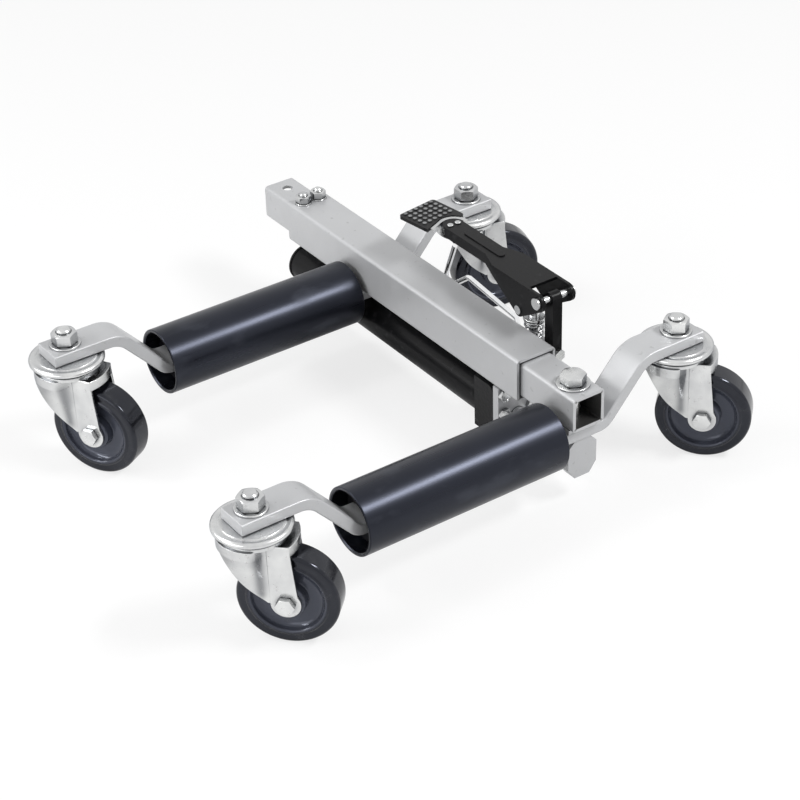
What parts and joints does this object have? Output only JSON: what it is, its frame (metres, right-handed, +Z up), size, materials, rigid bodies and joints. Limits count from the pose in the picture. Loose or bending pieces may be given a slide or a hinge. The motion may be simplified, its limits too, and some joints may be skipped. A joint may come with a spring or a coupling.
{
  "type": "vehicle positioning jack",
  "caption": "Wheel dolly with telescopic tubes, rollers on bent arms, a pedal-pumped pull ram and swivel casters; the rollers close to lift a tyre.",
  "frame": {"origin": "on the floor, below the middle of the whole part", "axes": "+X along the telescopic tubes towards the arm that moves, +Y along the arms from the open side to the pump side, +Z up"},
  "size_m": [0.6222, 0.6406, 0.1897],
  "materials": {
    "grey_paint": "silver grey enamel, satin",
    "zinc": "bright zinc plate",
    "chrome": "hard chrome, polished",
    "roller_black": "blue-black gloss enamel",
    "pump_black": "black enamel, semi-gloss",
    "nylon": "black nylon",
    "wheel_black": "black phenolic, semi-gloss",
    "bronze": "bearing bronze"
  },
  "bodies": {
    "base": {"outer_sleeve": "grey_paint", "sleeve_guides": "nylon", "sleeve_bolts": "zinc", "left_arm": "grey_paint", "left_roller_journals": "pump_black", "pump_mount_plate": "grey_paint", "pump_mount_bolts": "zinc", "pump_block": "pump_black", "ram_cylinder": "pump_black", "cylinder_end_cap": "pump_black", "rod_gland": "bronze", "pedal_post": "pump_black", "post_bolts": "zinc", "pedal_pivot_pin": "zinc", "release_valve": "zinc", "left_top_races": "zinc", "left_kingpins": "zinc", "left_kingpin_nuts": "zinc", "plunger_spring": "zinc"},
    "left_roller": {"left_roller": "roller_black", "left_roller_bushes": "nylon"},
    "right_carriage": {"inner_tube": "grey_paint", "right_arm": "grey_paint", "right_packing_plate": "grey_paint", "right_roller_journals": "pump_black", "tube_end_bolt": "zinc", "rod_lug": "grey_paint", "ram_rod": "chrome", "ram_piston": "zinc", "rod_nuts": "zinc", "right_top_races": "zinc", "right_kingpins": "zinc", "right_kingpin_nuts": "zinc"},
    "right_roller": {"right_roller": "roller_black", "right_roller_bushes": "nylon"},
    "pedal": {"pedal_lever": "pump_black", "pedal_strap": "zinc", "pedal_pad": "pump_black", "pedal_rivets": "zinc", "lever_press_pin": "zinc"},
    "plunger": {"pump_plunger": "chrome", "spring_cap": "zinc"},
    "release": {"release_rod": "chrome"},
    "lf_swivel": {"lf_fork": "zinc", "lf_axle": "zinc"},
    "lf_rolling_wheel": {"lf_wheel": "wheel_black", "lf_wheel_bush": "zinc"},
    "rf_swivel": {"rf_fork": "zinc", "rf_axle": "zinc"},
    "rf_rolling_wheel": {"rf_wheel": "wheel_black", "rf_wheel_bush": "zinc"},
    "lr_swivel": {"lr_fork": "zinc", "lr_axle": "zinc"},
    "lr_rolling_wheel": {"lr_wheel": "wheel_black", "lr_wheel_bush": "zinc"},
    "rr_swivel": {"rr_fork": "zinc", "rr_axle": "zinc"},
    "rr_rolling_wheel": {"rr_wheel": "wheel_black", "rr_wheel_bush": "zinc"}
  },
  "joints": [
    {"name": "opening", "type": "slide", "parent": "base", "child": "right_carriage", "axis": [1, 0, 0], "range_m": [-0.035, 0.2]},
    {"name": "left_roller_spin", "type": "hinge", "parent": "base", "child": "left_roller", "pos_m": [-0.12413, -0.04833, 0.08065], "axis": [0, 1, 0], "continuous": true},
    {"name": "right_roller_spin", "type": "hinge", "parent": "right_carriage", "child": "right_roller", "pos_m": [0.24137, -0.04833, 0.08065], "axis": [0, 1, 0], "continuous": true},
    {"name": "pedal_press", "type": "hinge", "parent": "base", "child": "pedal", "pos_m": [0.15587, 0.14367, 0.178], "axis": [0, -1, 0], "range_deg": [0, 10], "stiffness_Nm_per_rad": 12, "springref_deg": -14.32},
    {"name": "plunger_stroke", "type": "slide", "parent": "base", "child": "plunger", "axis": [0, 0, -1], "range_m": [0, 0.0058], "deforming": ["plunger_spring"]},
    {"name": "release_turn", "type": "hinge", "parent": "base", "child": "release", "pos_m": [0.08737, 0.15067, 0.08], "axis": [-1, 0, 0], "range_deg": [0, 12]},
    {"name": "lf_swivel_turn", "type": "hinge", "parent": "base", "child": "lf_swivel", "pos_m": [-0.12413, -0.28033, 0.0508], "axis": [0, 0, 1], "continuous": true},
    {"name": "lf_wheel_spin", "type": "hinge", "parent": "lf_swivel", "child": "lf_rolling_wheel", "pos_m": [-0.09552, -0.26388, 0.0508], "axis": [-0.4985, 0.8669, 0], "continuous": true},
    {"name": "rf_swivel_turn", "type": "hinge", "parent": "right_carriage", "child": "rf_swivel", "pos_m": [0.24137, -0.28033, 0.0508], "axis": [0, 0, 1], "continuous": true},
    {"name": "rf_wheel_spin", "type": "hinge", "parent": "rf_swivel", "child": "rf_rolling_wheel", "pos_m": [0.26515, -0.25744, 0.0508], "axis": [-0.6934, 0.7206, 0], "continuous": true},
    {"name": "lr_swivel_turn", "type": "hinge", "parent": "base", "child": "lr_swivel", "pos_m": [-0.12413, 0.23737, 0.0508], "axis": [0, 0, 1], "continuous": true},
    {"name": "lr_wheel_spin", "type": "hinge", "parent": "lr_swivel", "child": "lr_rolling_wheel", "pos_m": [-0.11393, 0.26876, 0.0508], "axis": [-0.9511, 0.309, 0], "continuous": true},
    {"name": "rr_swivel_turn", "type": "hinge", "parent": "right_carriage", "child": "rr_swivel", "pos_m": [0.24137, 0.23737, 0.0508], "axis": [0, 0, 1], "continuous": true},
    {"name": "rr_wheel_spin", "type": "hinge", "parent": "rr_swivel", "child": "rr_rolling_wheel", "pos_m": [0.26563, 0.25975, 0.0508], "axis": [-0.6782, 0.7349, 0], "continuous": true}
  ],
  "couplings": [
    {"joint": "plunger_stroke", "follows": "pedal_press", "m_per_rad": 0.0325}
  ]
}
